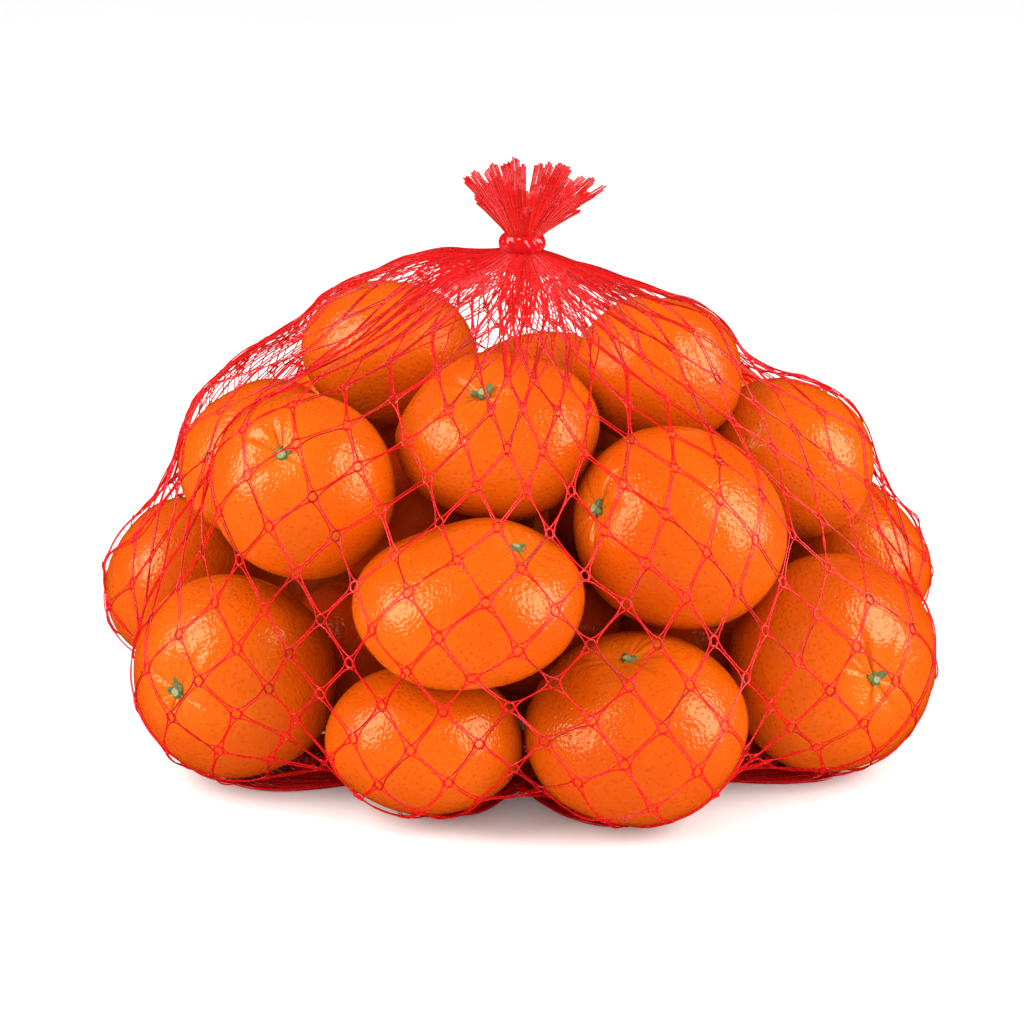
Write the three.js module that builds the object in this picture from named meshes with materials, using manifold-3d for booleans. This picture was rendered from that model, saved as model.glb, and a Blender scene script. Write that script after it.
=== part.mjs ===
// A net of mandarins: fruit heaped in a red net bag that is drawn together into a neck, held by a ring clip,
// with the cut ends of the net standing above the clip as a tuft. Millimetres, +Z up, resting on z = 0.
import * as THREE from 'three';
import { mergeVertices } from 'three/addons/utils/BufferGeometryUtils.js';
import Module from 'manifold-3d';

const wasm = await Module();
wasm.setup();

// The fruit: centre, width across the short axis, height along it, the short axis, and the direction of the
// stem end where that isn't the short axis
const FRUIT = [
  // Resting on the ground along the front
  { centre: [-83, -40, 32], width: 62, height: 56, axis: [-0.67, -0.75, 0], stem: [-0.56, -0.83, 0.1] },
  { centre: [-27, -68, 23], width: 56, height: 43, axis: [0.1, 0.2, 1] },
  { centre: [33, -70, 27.5], width: 63, height: 50, axis: [-0.14, -0.25, 0.96] },
  { centre: [92, -34, 34], width: 66, height: 54, axis: [0.6, -0.8, 0], stem: [0.43, -0.9, 0.1] },
  // Second layer of the front
  { centre: [-61, -46, 91], width: 54, height: 51, axis: [-0.19, -0.78, 0.6] },
  { centre: [-14, -74, 65.5], width: 64.5, height: 43.5, axis: [-0.08, -0.12, 1], stem: [0.4, -0.22, 0.89] },
  { centre: [45.5, -46, 78.5], width: 62.5, height: 55, axis: [0.4, -0.4, 1], stem: [-0.83, -0.44, 0.35] },
  // Both flanks, lower and upper
  { centre: [-104, 18, 43], width: 53, height: 49, axis: [-0.8, 0.3, 0.5] },
  { centre: [-77, 3, 85.5], width: 52, height: 48, axis: [-0.6, 0.4, 0.8] },
  { centre: [104, 28, 46], width: 53, height: 49, axis: [0.8, 0.4, 0.5] },
  { centre: [81, 4, 86], width: 53, height: 49, axis: [0.5, 0.3, 0.8] },
  // Top of the heap
  { centre: [-39, 13, 117], width: 53, height: 45, axis: [0.2, 0.4, 1] },
  { centre: [-6, -30, 102], width: 59, height: 46, axis: [-0.1, -0.3, 0.95], stem: [-0.18, -0.58, 0.8] },
  { centre: [41, -5, 115], width: 51, height: 45, axis: [0.2, 0.3, 1] },
  { centre: [8, 32.5, 96], width: 54, height: 46, axis: [0, 0.5, 1] },
  // Back of the heap
  { centre: [-64, 55, 28], width: 58, height: 51, axis: [-0.3, 0.6, 0.8] },
  { centre: [-5, 75, 28], width: 60, height: 51, axis: [0.1, 0.7, 0.7] },
  { centre: [58, 53, 28], width: 58, height: 51, axis: [0.4, 0.5, 0.8] },
  { centre: [-47.5, 56, 86], width: 56, height: 50, axis: [-0.3, 0.7, 0.6] },
  { centre: [7, 81, 78], width: 50, height: 46, axis: [0.1, 0.8, 0.5] },
  { centre: [58, 51, 82], width: 54, height: 48, axis: [0.4, 0.7, 0.5] },
  // Middle of the heap, seen only through the gaps
  { centre: [-47, 2, 24], width: 54, height: 47, axis: [0, 0, 1] },
  { centre: [47.5, -5, 24], width: 54, height: 47, axis: [0, 0, 1] },
  { centre: [4, -25, 43.5], width: 52, height: 45, axis: [0, 0.2, 1] },
  { centre: [-32, -6, 68.8], width: 50, height: 46, axis: [0.2, 0, 1] },
  { centre: [34, 7, 67], width: 50, height: 45, axis: [-0.2, 0.3, 1] },
  { centre: [3, 20.5, 23], width: 50, height: 44, axis: [0.3, 0.2, 1] },
  { centre: [-16.5, 36, 58.5], width: 44, height: 41, axis: [0.1, 0.3, 1] },
];
const FRUIT_COLUMNS = 14;
const FRUIT_ROWS = 10;
const MIDDLE_FRUIT = 7; // the last in the list, with fewer sides
const MIDDLE_COLUMNS = 12;
const MIDDLE_ROWS = 8;
const TOUCH_RADIUS = 8; // of the patch where two fruit are pressed together
const TOUCH_SIDES = 5;
const STEM_DIMPLE_DEPTH = 2.4;
const STEM_DIMPLE_WIDTH = 0.24; // as a share of the fruit's half width

// The dried calyx in the stem dimple
const CALYX_POINTS = 5;
const CALYX_OUTER_RADIUS = 4;
const CALYX_INNER_RADIUS = 2;
const CALYX_THICKNESS = 1.8;

// The net's own surface, drawn taut over the fruit from the ground up to the neck
const NET_COLUMNS = 36;
const NET_ROWS = 28;
const NET_SLACK_REACH = 175; // how far out the net starts before it is drawn in
const NET_DRAW_STEPS = 500;
const NET_NEIGHBOURS = 4;
const CORE_SHARE = 0.5; // how much of the way out to the net the core inside the heap fills
const CORE_START_HEIGHT = 2;
const CORE_FULL_HEIGHT = 26;
const TENT_ROWS = 4; // rows at the neck where the net stands clear of the fruit as a tent
const TENT_EDGE_ROWS = 9;
const BASE_ROWS = 12; // rows from the middle of the base up to the core
const GROUND_SNAP = 2.5; // net closer to the ground than this lies flat on it
const PLEAT_DEPTH = 0.5;
const PLEAT_ROWS = 7;

// The neck, straight above the middle of the heap
const HEAP_CENTRE = new THREE.Vector3(1, 0, 62);
const NECK_BASE_HEIGHT = 149.5;
const NECK_TOP_HEIGHT = 157;
const NECK_RADIUS = 4;

// The tuft of cut net above the neck: a fan, wider than deep, that leans towards +X
const TUFT_LENGTH = 22;
const TUFT_CLUMP_VARIATION = 5;
const TUFT_STRAND_VARIATION = 1.5;
const TUFT_HALF_WIDTH = 21;
const TUFT_HALF_DEPTH = 12;
const TUFT_LEAN = 5;
const TUFT_ROWS = 5;
const TUFT_FLARE_POWER = 1.3;
const TUFT_PLEAT = 0.1;
const TUFT_CLUMP_COLUMNS = 4;
const TUFT_HOLLOW = 0.5; // height of the tuft's middle as a share of its length

// The clip round the neck: a band with a lobe at each end of its X axis
const CLIP_HEIGHT = 152.6;
const CLIP_NECK_GAP = 0.35;
const CLIP_HALF_THICKNESS = 1;
const CLIP_HALF_HEIGHT = 2.4;
const CLIP_LOBE_SWELL = 0.35;
const CLIP_COLUMNS = 24;
const CLIP_SECTION_SIDES = 10;

const RANDOM_SEED = 7;
const RANDOM_FACTOR = 16807;
const RANDOM_MODULUS = 2147483647;
const WELD_DISTANCE = 1e-4;
const JOIN_TOLERANCE = 0.05; // slivers along a joint that are finer than this are closed up
const UP = new THREE.Vector3(0, 0, 1);

// Seeded random numbers from 0 to 1, the same on every run
function randomSource(seed) {
  let state = seed;
  return () => {
    state = (state * RANDOM_FACTOR) % RANDOM_MODULUS;
    return state / RANDOM_MODULUS;
  };
}

function smoothRise(value, start, end) {
  const share = Math.min(Math.max((value - start) / (end - start), 0), 1);
  return share * share * (3 - 2 * share);
}

// Solids for joining

function solidFrom(geometry) {
  const bare = geometry.clone();
  bare.deleteAttribute('normal');
  bare.deleteAttribute('uv');
  const welded = mergeVertices(bare, WELD_DISTANCE);
  const vertProperties = Float32Array.from(welded.attributes.position.array);
  const triVerts = Uint32Array.from(welded.index.array);
  const mesh = new wasm.Mesh({ numProp: 3, vertProperties, triVerts, tolerance: JOIN_TOLERANCE });
  return new wasm.Manifold(mesh);
}

function geometryFrom(solid) {
  const mesh = solid.getMesh();
  const geometry = new THREE.BufferGeometry();
  geometry.setAttribute('position', new THREE.BufferAttribute(Float32Array.from(mesh.vertProperties), 3));
  geometry.setIndex(new THREE.BufferAttribute(Uint32Array.from(mesh.triVerts), 1));
  geometry.computeVertexNormals();
  return geometry;
}

// One fruit: an oblate ball, turned so that its short axis points along its axis direction

function fruitFrame(fruit) {
  const turn = new THREE.Quaternion().setFromUnitVectors(UP, new THREE.Vector3(...fruit.axis).normalize());
  const unturn = turn.clone().invert();
  const stem = new THREE.Vector3(...(fruit.stem ?? fruit.axis)).normalize().applyQuaternion(unturn);
  const half = new THREE.Vector3(fruit.width, fruit.width, fruit.height).divideScalar(2);
  const stemNormal = stem.clone().divide(half).normalize();
  return { centre: new THREE.Vector3(...fruit.centre), turn, unturn, stem, half, stemNormal };
}

function fruitGeometry(fruit, columns, rows) {
  const { centre, turn, stem, half, stemNormal } = fruitFrame(fruit);
  const poleToStem = new THREE.Quaternion().setFromUnitVectors(UP, stem);
  const ball = new THREE.SphereGeometry(1, columns, rows).rotateX(Math.PI / 2);
  const position = ball.attributes.position;
  const point = new THREE.Vector3();
  for (let index = 0; index < position.count; index += 1) {
    point.fromBufferAttribute(position, index);
    const distance = Math.hypot(point.x, point.y);
    const dimple = point.z > 0 ? STEM_DIMPLE_DEPTH * Math.exp(-((distance / STEM_DIMPLE_WIDTH) ** 2)) : 0;
    point.applyQuaternion(poleToStem).multiply(half).addScaledVector(stemNormal, -dimple);
    point.applyQuaternion(turn).add(centre);
    position.setXYZ(index, point.x, point.y, point.z);
  }
  return ball;
}

function calyxGeometry(fruit) {
  const { centre, turn, stem, half, stemNormal } = fruitFrame(fruit);
  const star = new THREE.Shape();
  for (let corner = 0; corner < 2 * CALYX_POINTS; corner += 1) {
    const radius = corner % 2 === 0 ? CALYX_OUTER_RADIUS : CALYX_INNER_RADIUS;
    const angle = (corner * Math.PI) / CALYX_POINTS;
    const corner2d = [radius * Math.cos(angle), radius * Math.sin(angle)];
    if (corner === 0) star.moveTo(...corner2d);
    else star.lineTo(...corner2d);
  }
  star.closePath();
  const calyx = new THREE.ExtrudeGeometry(star, { depth: CALYX_THICKNESS, bevelEnabled: false });
  const seat = stem.clone().multiply(half);
  seat.addScaledVector(stemNormal, -STEM_DIMPLE_DEPTH - CALYX_THICKNESS / 2);
  calyx.applyQuaternion(new THREE.Quaternion().setFromUnitVectors(UP, stemNormal));
  calyx.translate(...seat.toArray());
  calyx.applyQuaternion(turn);
  calyx.translate(...centre.toArray());
  return calyx;
}

// How far the surface of a fruit is from its own middle in a direction
function fruitRadius({ unturn, half }, direction) {
  return 1 / direction.clone().applyQuaternion(unturn).divide(half).length();
}

// The patch where a fruit is pressed against its nearest neighbour among those that lie further in
function touchGeometry(frame, frames) {
  const fromMiddle = frame.centre.distanceTo(HEAP_CENTRE);
  let nearest = null;
  for (const other of frames) {
    if (other.centre.distanceTo(HEAP_CENTRE) >= fromMiddle) continue;
    const across = other.centre.clone().sub(frame.centre);
    const distance = across.length();
    across.normalize();
    const gap = distance - fruitRadius(frame, across) - fruitRadius(other, across);
    if (!nearest || gap < nearest.gap) nearest = { gap, across, distance };
  }
  if (!nearest) return null;
  const { across, distance } = nearest;
  const touch = new THREE.CylinderGeometry(TOUCH_RADIUS, TOUCH_RADIUS, distance, TOUCH_SIDES);
  touch.rotateX(Math.PI / 2).applyQuaternion(new THREE.Quaternion().setFromUnitVectors(UP, across));
  return touch.translate(...frame.centre.clone().addScaledVector(across, distance / 2).toArray());
}

// How far a ray from the middle of the heap runs before it leaves the last fruit on its way
function fruitReach(direction, frames) {
  let reach = 0;
  for (const { centre, unturn, half } of frames) {
    const start = HEAP_CENTRE.clone().sub(centre).applyQuaternion(unturn).divide(half);
    const step = direction.clone().applyQuaternion(unturn).divide(half);
    const along = start.dot(step);
    const square = step.lengthSq();
    const inside = along * along - square * (start.lengthSq() - 1);
    if (inside > 0) reach = Math.max(reach, (-along + Math.sqrt(inside)) / square);
  }
  return reach;
}

// The net drawn taut: every point slides along its own ray to the mean of its neighbours, stopped by the
// fruit under it and by the ground. Row 0 is the middle of the base, the last row is the foot of the neck.
function drawNet() {
  const neckAngle = Math.atan2(NECK_RADIUS, NECK_BASE_HEIGHT - HEAP_CENTRE.z);
  const neckReach = Math.hypot(NECK_RADIUS, NECK_BASE_HEIGHT - HEAP_CENTRE.z);
  const frames = FRUIT.map(fruitFrame);
  const rows = [];
  for (let row = 0; row <= NET_ROWS; row += 1) {
    const polar = (row / NET_ROWS) * (Math.PI - neckAngle);
    rows.push([]);
    for (let column = 0; column < NET_COLUMNS; column += 1) {
      const around = (2 * Math.PI * column) / NET_COLUMNS;
      const flat = Math.sin(polar);
      const ray = new THREE.Vector3(flat * Math.cos(around), flat * Math.sin(around), -Math.cos(polar));
      const ground = ray.z < 0 ? HEAP_CENTRE.z / -ray.z : Infinity;
      const pinned = row === NET_ROWS;
      const reach = pinned ? neckReach : Math.min(NET_SLACK_REACH, ground);
      const stop = pinned ? neckReach : Math.min(fruitReach(ray, frames), ground);
      rows[row].push({ ray, ground, stop, reach, point: ray.clone().multiplyScalar(reach) });
    }
  }
  const mean = new THREE.Vector3();
  for (let step = 0; step < NET_DRAW_STEPS; step += 1) {
    for (let row = 1; row < NET_ROWS; row += 1) {
      for (let column = 0; column < NET_COLUMNS; column += 1) {
        const knot = rows[row][column];
        mean.copy(rows[row - 1][column].point).add(rows[row + 1][column].point);
        mean.add(rows[row][(column + 1) % NET_COLUMNS].point);
        mean.add(rows[row][(column + NET_COLUMNS - 1) % NET_COLUMNS].point);
        knot.reach = Math.min(Math.max(mean.dot(knot.ray) / NET_NEIGHBOURS, knot.stop), knot.ground);
        knot.point.copy(knot.ray).multiplyScalar(knot.reach);
      }
    }
  }
  return rows;
}

// Points of the drawn net at the base and the neck, and of the core in the middle of the heap between them
function netPoints() {
  return drawNet().map((row, rowIndex) => row.map((knot, column) => {
    const fromNeck = NET_ROWS - rowIndex;
    const height = HEAP_CENTRE.z + knot.point.z;
    const clearOfGround = smoothRise(height, CORE_START_HEIGHT, CORE_FULL_HEIGHT);
    const fromNet = clearOfGround * smoothRise(fromNeck, TENT_ROWS, TENT_EDGE_ROWS);
    const reach = knot.reach * (1 - (1 - CORE_SHARE) * fromNet);
    const pleat = column % 2 === 0 ? 0 : -PLEAT_DEPTH * smoothRise(PLEAT_ROWS - fromNeck, 0, PLEAT_ROWS);
    const point = knot.ray.clone().multiplyScalar(reach).add(HEAP_CENTRE);
    if (fromNeck > 0) point.z += pleat;
    if (point.z < GROUND_SNAP) point.z = 0;
    return point;
  }));
}

// Points of the neck's top ring and of the tuft above it, with the ends of the net cut ragged in clumps
function tuftPoints() {
  const random = randomSource(RANDOM_SEED);
  let clumpLength = TUFT_LENGTH;
  const lengths = [];
  for (let column = 0; column < NET_COLUMNS; column += 1) {
    if (column % TUFT_CLUMP_COLUMNS === 0) clumpLength = TUFT_LENGTH - TUFT_CLUMP_VARIATION * random();
    lengths.push(clumpLength + TUFT_STRAND_VARIATION * (random() - 0.5));
  }
  const rows = [];
  for (let row = 0; row <= TUFT_ROWS; row += 1) {
    const share = row / TUFT_ROWS;
    const flare = share ** TUFT_FLARE_POWER;
    rows.push(lengths.map((length, column) => {
      const around = (2 * Math.PI * column) / NET_COLUMNS;
      const pleat = 1 - (column % 2) * TUFT_PLEAT * share;
      const halfWidth = NECK_RADIUS + (TUFT_HALF_WIDTH - NECK_RADIUS) * flare;
      const halfDepth = NECK_RADIUS + (TUFT_HALF_DEPTH - NECK_RADIUS) * flare;
      return new THREE.Vector3(
        HEAP_CENTRE.x + TUFT_LEAN * flare + halfWidth * pleat * Math.cos(around),
        HEAP_CENTRE.y + halfDepth * pleat * Math.sin(around),
        NECK_TOP_HEIGHT + length * share,
      );
    }));
  }
  return rows;
}

// A closed skin over rings of points, with one more point in the middle of each end
function ringSkin(rings, firstMiddle, lastMiddle) {
  const columns = rings[0].length;
  const points = [...rings.flat(), firstMiddle, lastMiddle];
  const first = points.length - 2;
  const last = points.length - 1;
  const faces = [];
  for (let column = 0; column < columns; column += 1) {
    const next = (column + 1) % columns;
    const top = (rings.length - 1) * columns;
    faces.push(first, next, column);
    faces.push(last, top + column, top + next);
    for (let ring = 0; ring + 1 < rings.length; ring += 1) {
      const low = ring * columns;
      const high = low + columns;
      faces.push(low + column, low + next, high + next);
      faces.push(low + column, high + next, high + column);
    }
  }
  const geometry = new THREE.BufferGeometry().setFromPoints(points);
  geometry.setIndex(faces);
  return geometry;
}

function netBagGeometry() {
  const tentStart = NET_ROWS - TENT_EDGE_ROWS;
  const net = netPoints().filter((_, row) => row > 0 && (row <= BASE_ROWS || row >= tentStart));
  const tuft = tuftPoints();
  const baseMiddle = new THREE.Vector3(HEAP_CENTRE.x, HEAP_CENTRE.y, 0);
  const tuftMiddle = new THREE.Vector3(
    HEAP_CENTRE.x + TUFT_LEAN / 2,
    HEAP_CENTRE.y,
    NECK_TOP_HEIGHT + TUFT_HOLLOW * TUFT_LENGTH,
  );
  let bag = solidFrom(ringSkin([...net, ...tuft], baseMiddle, tuftMiddle));
  for (const fruit of FRUIT.slice(-MIDDLE_FRUIT)) {
    bag = bag.add(solidFrom(fruitGeometry(fruit, MIDDLE_COLUMNS, MIDDLE_ROWS)));
  }
  for (const fruit of FRUIT.slice(0, -MIDDLE_FRUIT)) {
    bag = bag.add(solidFrom(fruitGeometry(fruit, FRUIT_COLUMNS, FRUIT_ROWS)));
    bag = bag.add(solidFrom(calyxGeometry(fruit)));
  }
  const frames = FRUIT.map(fruitFrame);
  for (const frame of frames) {
    const touch = touchGeometry(frame, frames);
    if (touch) bag = bag.add(solidFrom(touch));
  }
  return geometryFrom(bag);
}

// The clip: a band whose section swells into a lobe at each end of the X axis and always clears the neck
function clipGeometry() {
  const points = [];
  const faces = [];
  for (let column = 0; column < CLIP_COLUMNS; column += 1) {
    const around = (2 * Math.PI * column) / CLIP_COLUMNS;
    const halfThickness = CLIP_HALF_THICKNESS + CLIP_LOBE_SWELL * Math.cos(around) ** 4;
    const middle = NECK_RADIUS + CLIP_NECK_GAP + halfThickness;
    for (let side = 0; side < CLIP_SECTION_SIDES; side += 1) {
      const turn = (2 * Math.PI * side) / CLIP_SECTION_SIDES;
      const radius = middle + halfThickness * Math.cos(turn);
      points.push(new THREE.Vector3(
        HEAP_CENTRE.x + radius * Math.cos(around),
        HEAP_CENTRE.y + radius * Math.sin(around),
        CLIP_HEIGHT + CLIP_HALF_HEIGHT * Math.sin(turn),
      ));
      const nextColumn = ((column + 1) % CLIP_COLUMNS) * CLIP_SECTION_SIDES;
      const here = column * CLIP_SECTION_SIDES;
      const nextSide = (side + 1) % CLIP_SECTION_SIDES;
      faces.push(here + side, nextColumn + side, nextColumn + nextSide);
      faces.push(here + side, nextColumn + nextSide, here + nextSide);
    }
  }
  const geometry = new THREE.BufferGeometry().setFromPoints(points);
  geometry.setIndex(faces);
  geometry.computeVertexNormals();
  return geometry;
}

// Scene graph

const netOverPeel = new THREE.MeshStandardMaterial({ color: 0xf0680c, roughness: 0.45, metalness: 0 });
const redPlastic = new THREE.MeshStandardMaterial({ color: 0xd9141a, roughness: 0.3, metalness: 0 });

const netBag = new THREE.Mesh(netBagGeometry(), netOverPeel);
netBag.name = 'net_bag';

const clip = new THREE.Mesh(clipGeometry(), redPlastic);
clip.name = 'clip';

const netOfMandarins = new THREE.Group();
netOfMandarins.name = 'net_of_mandarins';
netOfMandarins.add(netBag, clip);

export default netOfMandarins;
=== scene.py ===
"""Looks of a net of mandarins: loose fruit in an open red net, drawn into a neck and a tuft by a clip."""
import itertools
import math

import bpy
import numpy as np
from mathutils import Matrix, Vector


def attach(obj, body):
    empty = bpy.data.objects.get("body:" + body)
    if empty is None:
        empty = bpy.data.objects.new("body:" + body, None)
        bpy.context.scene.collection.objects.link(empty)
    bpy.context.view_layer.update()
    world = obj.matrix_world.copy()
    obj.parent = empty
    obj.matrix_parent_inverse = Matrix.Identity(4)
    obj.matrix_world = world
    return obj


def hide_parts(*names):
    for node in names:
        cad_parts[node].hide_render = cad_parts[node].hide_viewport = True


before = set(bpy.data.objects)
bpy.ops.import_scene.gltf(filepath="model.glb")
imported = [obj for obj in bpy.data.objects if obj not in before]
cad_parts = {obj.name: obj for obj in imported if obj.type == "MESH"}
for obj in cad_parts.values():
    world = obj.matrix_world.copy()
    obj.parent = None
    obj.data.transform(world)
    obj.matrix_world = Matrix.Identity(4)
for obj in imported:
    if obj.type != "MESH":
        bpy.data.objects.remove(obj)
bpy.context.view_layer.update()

MM = 0.001
SEED = 11

# The fruit (mm): centre, width across the short axis, height along it, the short axis, and the direction of
# the stem end where that isn't the short axis
FRUIT = [
    # Resting on the ground along the front
    ((-83, -40, 32), 62, 56, (-0.67, -0.75, 0), (-0.56, -0.83, 0.1)),
    ((-27, -68, 23), 56, 43, (0.1, 0.2, 1)),
    ((33, -70, 27.5), 63, 50, (-0.14, -0.25, 0.96)),
    ((92, -34, 34), 66, 54, (0.6, -0.8, 0), (0.43, -0.9, 0.1)),
    # Second layer of the front
    ((-61, -46, 91), 54, 51, (-0.19, -0.78, 0.6)),
    ((-14, -74, 65.5), 64.5, 43.5, (-0.08, -0.12, 1), (0.4, -0.22, 0.89)),
    ((45.5, -46, 78.5), 62.5, 55, (0.4, -0.4, 1), (-0.83, -0.44, 0.35)),
    # Both flanks, lower and upper
    ((-104, 18, 43), 53, 49, (-0.8, 0.3, 0.5)),
    ((-77, 3, 85.5), 52, 48, (-0.6, 0.4, 0.8)),
    ((104, 28, 46), 53, 49, (0.8, 0.4, 0.5)),
    ((81, 4, 86), 53, 49, (0.5, 0.3, 0.8)),
    # Top of the heap
    ((-39, 13, 117), 53, 45, (0.2, 0.4, 1)),
    ((-6, -30, 102), 59, 46, (-0.1, -0.3, 0.95), (-0.18, -0.58, 0.8)),
    ((41, -5, 115), 51, 45, (0.2, 0.3, 1)),
    ((8, 32.5, 96), 54, 46, (0, 0.5, 1)),
    # Back of the heap
    ((-64, 55, 28), 58, 51, (-0.3, 0.6, 0.8)),
    ((-5, 75, 28), 60, 51, (0.1, 0.7, 0.7)),
    ((58, 53, 28), 58, 51, (0.4, 0.5, 0.8)),
    ((-47.5, 56, 86), 56, 50, (-0.3, 0.7, 0.6)),
    ((7, 81, 78), 50, 46, (0.1, 0.8, 0.5)),
    ((58, 51, 82), 54, 48, (0.4, 0.7, 0.5)),
    # Middle of the heap, seen only through the gaps
    ((-47, 2, 24), 54, 47, (0, 0, 1)),
    ((47.5, -5, 24), 54, 47, (0, 0, 1)),
    ((4, -25, 43.5), 52, 45, (0, 0.2, 1)),
    ((-32, -6, 68.8), 50, 46, (0.2, 0, 1)),
    ((34, 7, 67), 50, 45, (-0.2, 0.3, 1)),
    ((3, 20.5, 23), 50, 44, (0.3, 0.2, 1)),
    ((-16.5, 36, 58.5), 44, 41, (0.1, 0.3, 1)),
]

# The fruit that show from the front come first and have the finest mesh. Those after the outer ones lie deep
# in the heap and get painted shade: a darker peel and a weaker sheen
FRONT_FRUIT = 15
OUTER_FRUIT = 21
PAINTED_SHADE_STEP = 3
FRONT_GRID = (112, 72)
BACK_GRID = (84, 54)
POLE_CROWDING = 1.12

# The form of the peel: depths in mm, widths as shares of the fruit's radius
DIMPLE_DEPTH = 2.4
DIMPLE_WIDTH = 0.24
NAVEL_DEPTH = 0.7
NAVEL_WIDTH = 0.14
LUMPS = 7
LUMP_HEIGHT = 0.26
LUMP_SINK = 0.25
LUMP_LIMIT = 0.25
LUMP_WAVES = (2.5, 6)
TONE_STEP = 0.25
TONE_WAVES = (1.5, 4)
ANY_PHASE = (0, 6.3)
CREASES = 10
CREASE_DEPTH = 1.0
CREASE_STRENGTH = (0.3, 1)
CREASE_WIDTH = (0.07, 0.16)
CREASE_MIDDLE = 0.22
CREASE_REACH = 0.19
STEM_GLOW = 0.3

# The calyx in the stem dimple: a stalk scar with five sepals round it
SEPALS = 5
SEPAL_REACH = 3.4
SEPAL_VALLEY = 1.6
CALYX_COLUMNS = 40
CALYX_PHASE = (0, 6)
SEPAL_SIZE = (0.8, 1.05)
SEPAL_CURL = 0.35
STALK_RADIUS = (1.0, 1.35)
STALK_HEIGHT = (0.7, 1.3)
# Rings over the stalk scar: radius as a share of the stalk's, height as a share of its height, and how pale
STALK_RINGS = ((0.05, 0.75, 1), (0.5, 0.8, 1), (0.8, 1, 0.9), (1, 0.85, 0.4), (1.1, 0.4, 0.1))
# Rings over the sepals: share of their reach, height in mm, and how pale
SEPAL_RINGS = ((0.5, 0.55, 0.15), (0.8, 0.6, 0.05), (1, 0.45, 0.3), (1.04, 0.2, 0.3), (1, -0.9, 0))

# The net (mm): rows of knots from the middle of the base up to the neck, joined by strands of two filaments
NET_COLUMNS = 36
NET_ROWS = 23
STRAND_LENGTH = 14.8
STRAND_SPREAD = 0.05
STRAND_RADIUS = 0.23
STRAND_SIDES = 4
STRAND_TWIST = 1.6
STRAND_STATIONS = (0, 0.06, 0.13, 0.22, 0.35, 0.5, 0.65, 0.78, 0.87, 0.94, 1)
PAIR_GAP = 0.31
NET_CLEARANCE = 0.65
BASE_RADIUS = 9
BASE_HEIGHT = 0.7
HEAP_CENTRE = np.array((1.0, 0.0, 62.0))
NECK_HEIGHT = 151.2
NECK_RADIUS = 3.4
SKIN_ROWS = 90
SKIN_REACH = 175.0
DRAW_STEPS = 300
DRAW_PULL = 1.7
SETTLE_STEPS = 900
START_SLACK = 0.12
SLACK_STEPS = 300
STRAIGHTEN = 0.3
EVEN_OUT = 0.12
EVEN_SPREAD = 0.45
KNOT_RADIUS = 1.45
KNOT_TUBE = 0.36
KNOT_STEPS = 12
KNOT_SIDES = 5
KNOT_ROWS = 19
KNOT_OVERLAP = 0.62
KNOT_OPENING = 2.1
KNOT_SPREAD = 0.8

# How dark the net is: the painted shade on the open net, how much its red varies from filament to filament,
# and the rows between which the painted shade deepens to that on the gathered net
SPREAD_SHADE = 0.35
SHADE_VARIETY = 1.7
SHADE_ROWS = (15, 20)

# The net stands out from the neck like a tent, higher on the left. Many more filaments are gathered round the
# neck, and some of them run on down the left flank in a bunch
TENT_REACH = 52
TENT_LIFT = 2.7
TENT_LIFT_LEFT = 1.9
TENT_SINK_FRONT = 1.5
GATHER_FRONT = 1.0
GATHER_FADE = 1.4
FLANK_FADE = 3.0
GATHER_SWAY = 0.06
GATHER_SWAYS = 7
GATHER_RADIUS = 0.21
GATHER_STEPS = 7
# Painted shade on the gathered net and on the strands round the neck
GATHER_SHADE = 1.15
# Where the bunch lies, in degrees, at two rows, and the cosines of the way round to it at its edge and core
FLANK_ROWS = (12, 20)
FLANK_BEARINGS = (168, 150)
FLANK_START = 0.91
FLANK_END = 0.98
# For each added filament its share of the way to the next strand, how many rows it runs down from the neck,
# and how many more rows it runs down the flank
GATHERED = (
    (0.25, 2.8, 8), (0.5, 3.5, 9), (0.75, 2.8, 8),
    (0.12, 1.3, 0), (0.38, 1.6, 0), (0.63, 1.6, 0), (0.88, 1.3, 0),
)

# Where the net stands off its tight course (mm): the middle, the reach, doubled along y, and the push
BILLOWS = (((-84, 22, 113), 20, 6.5), ((71.5, 14, 117), 15, -4.5))

# The net folded flat under the fruit: rows of squeezed cells from the rim inwards
HEM_ROWS = 32
HEM_PITCH = 1.1
HEM_WAVE = 0.7
HEM_CELLS = 40
HEM_STEPS = 240
HEM_RADIUS = 0.42
HEM_INSET = 0.8
HEM_LIFT = 15
HEM_SHELTER = 3.5
HEM_SMOOTHING = 6
HEM_DRIFT = 0.6
HEM_JITTER = 0.1
HEM_RIPPLE = 0.25
# Painted shade on the net folded under the fruit
HEM_SHADE = 1

# The tuft above the clip: a fan of flat clumps of cut strands. For each clump its lean from the vertical in
# degrees, its length and its width (mm)
TUFT_FOOT = 156
TUFT_CLUMPS = (
    (-46, 26, 2.0), (-40, 24, 1.8), (-33.5, 24.2, 2.2), (-27, 23.6, 2.2), (-20, 23.6, 2.6),
    (-12, 24.6, 3.4), (-5, 24.2, 2.2), (0.5, 22.5, 1.4), (4, 14, 1.9), (9, 16, 2.0),
    (13.5, 24, 2.6), (19, 23.6, 2.0), (25.5, 25, 3.3), (32.5, 25.2, 2.6), (39.5, 22.5, 2.2),
    (45.5, 25.4, 2.2), (51.5, 27.6, 2.0), (56, 27, 1.2), (62, 25.8, 0.8),
)
TUFT_LAYERS = (-1.0, -0.3, 0.35, 1.0)
TUFT_DEPTH = 8.0
TUFT_PITCH = 0.5
TUFT_RADIUS = 0.27
TUFT_SIDES = 5
TUFT_ROUND = 1.0
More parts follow.
